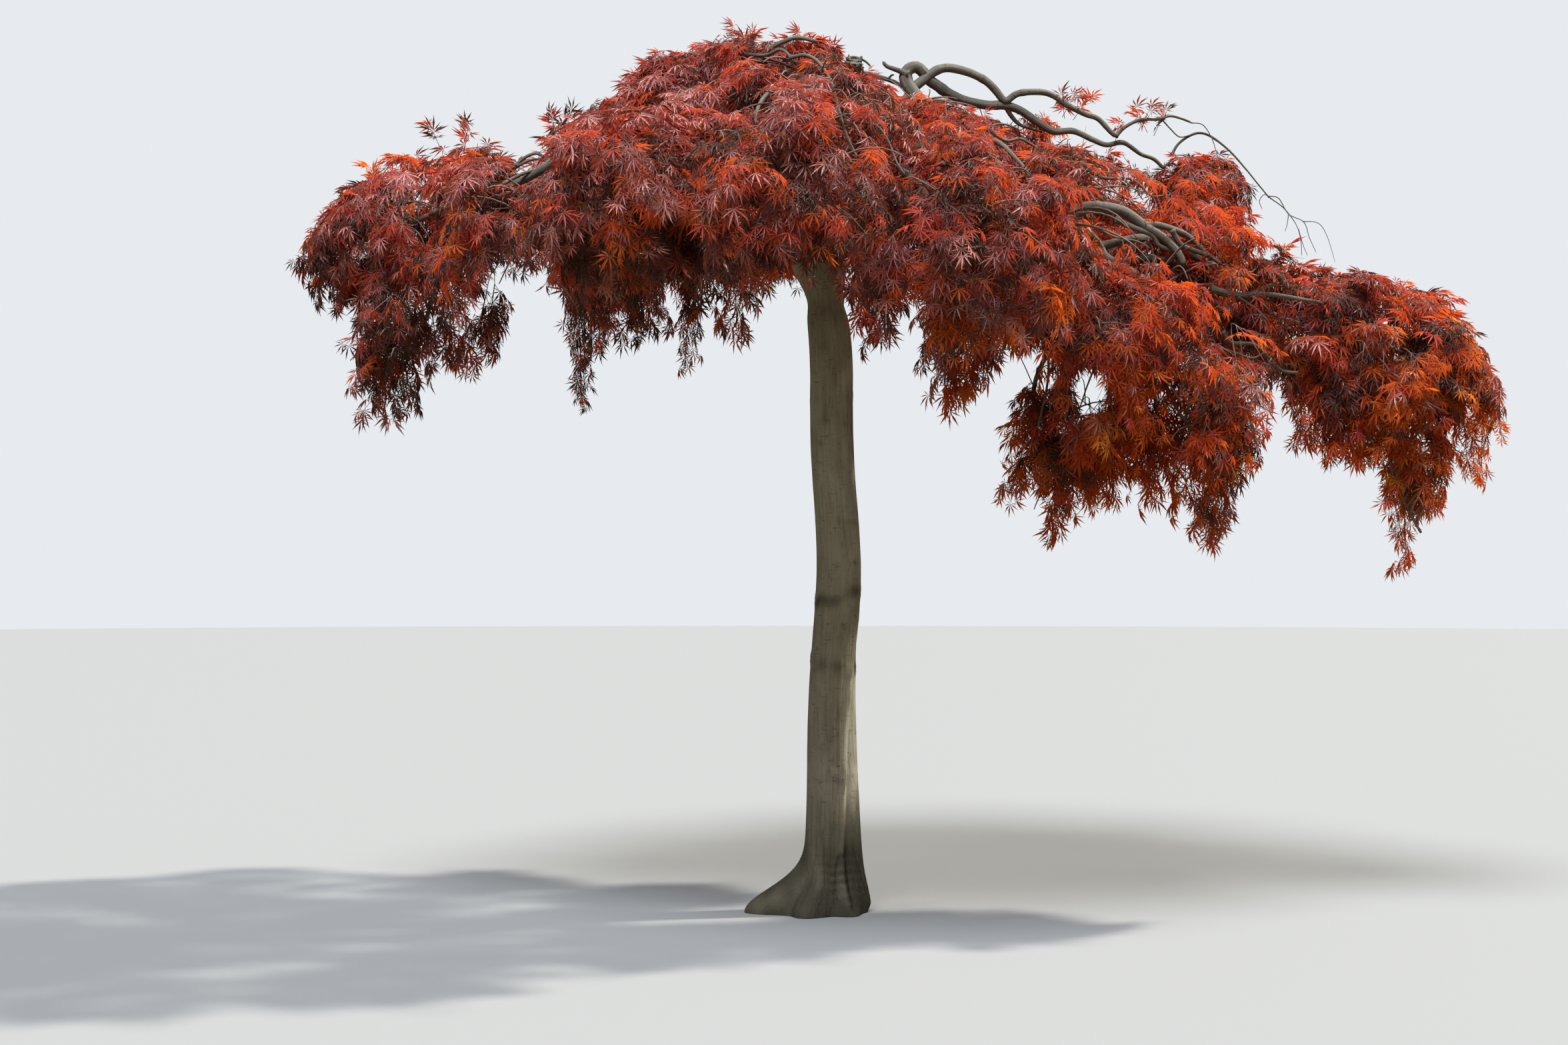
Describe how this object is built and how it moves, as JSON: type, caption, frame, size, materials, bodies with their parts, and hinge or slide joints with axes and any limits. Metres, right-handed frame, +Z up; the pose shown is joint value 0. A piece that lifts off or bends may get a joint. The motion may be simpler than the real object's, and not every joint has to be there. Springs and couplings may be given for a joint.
{
  "type": "weeping japanese maple tree",
  "caption": "Weeping laceleaf maple on a tall clear stem, with a wide umbrella crown of red cut leaves, long arching limbs and a flared root base.",
  "frame": {"origin": "middle of the flat cut under the trunk, at ground level", "axes": "+Z up the trunk, +X along the longest arm of the crown, -Y towards the front side seen in the picture"},
  "size_m": [5.5847, 3.9809, 3.9832],
  "materials": {
    "bark": "smooth grey-brown bark with fine upright streaks",
    "foliage": "thin matt red leaves"
  },
  "bodies": {
    "root": {"trunk": "bark", "bough_east": "bark", "bough_north": "bark", "bough_south": "bark", "bough_top": "bark", "bough_west": "bark", "limb_east_arm": "bark", "limb_east_front": "bark", "limb_east_low": "bark", "limb_east_north": "bark", "limb_east_upper": "bark", "limb_far_east": "bark", "limb_far_east_end": "bark", "limb_far_east_low": "bark", "limb_far_west": "bark", "limb_low_east": "bark", "limb_north": "bark", "limb_northeast": "bark", "limb_northeast_upper": "bark", "limb_northwest": "bark", "limb_ridge_inner": "bark", "limb_ridge_low": "bark", "limb_ridge_middle": "bark", "limb_ridge_outer": "bark", "limb_south": "bark", "limb_south_southeast": "bark", "limb_southeast": "bark", "limb_southwest": "bark", "limb_west": "bark", "limb_west_front": "bark", "limb_west_low": "bark", "foliage_east_arm": "foliage", "foliage_east_front": "foliage", "foliage_east_low": "foliage", "foliage_east_north": "foliage", "foliage_east_upper": "foliage", "foliage_far_east": "foliage", "foliage_far_east_end": "foliage", "foliage_far_east_low": "foliage", "foliage_far_west": "foliage", "foliage_low_east": "foliage", "foliage_north": "foliage", "foliage_northeast": "foliage", "foliage_northeast_upper": "foliage", "foliage_northwest": "foliage", "foliage_ridge_low": "foliage", "foliage_south": "foliage", "foliage_south_southeast": "foliage", "foliage_southeast": "foliage", "foliage_southwest": "foliage", "foliage_upper_east": "foliage", "foliage_upper_north": "foliage", "foliage_upper_south": "foliage", "foliage_upper_top": "foliage", "foliage_upper_west": "foliage", "foliage_west": "foliage", "foliage_west_front": "foliage", "foliage_west_low": "foliage"}
  },
  "joints": []
}
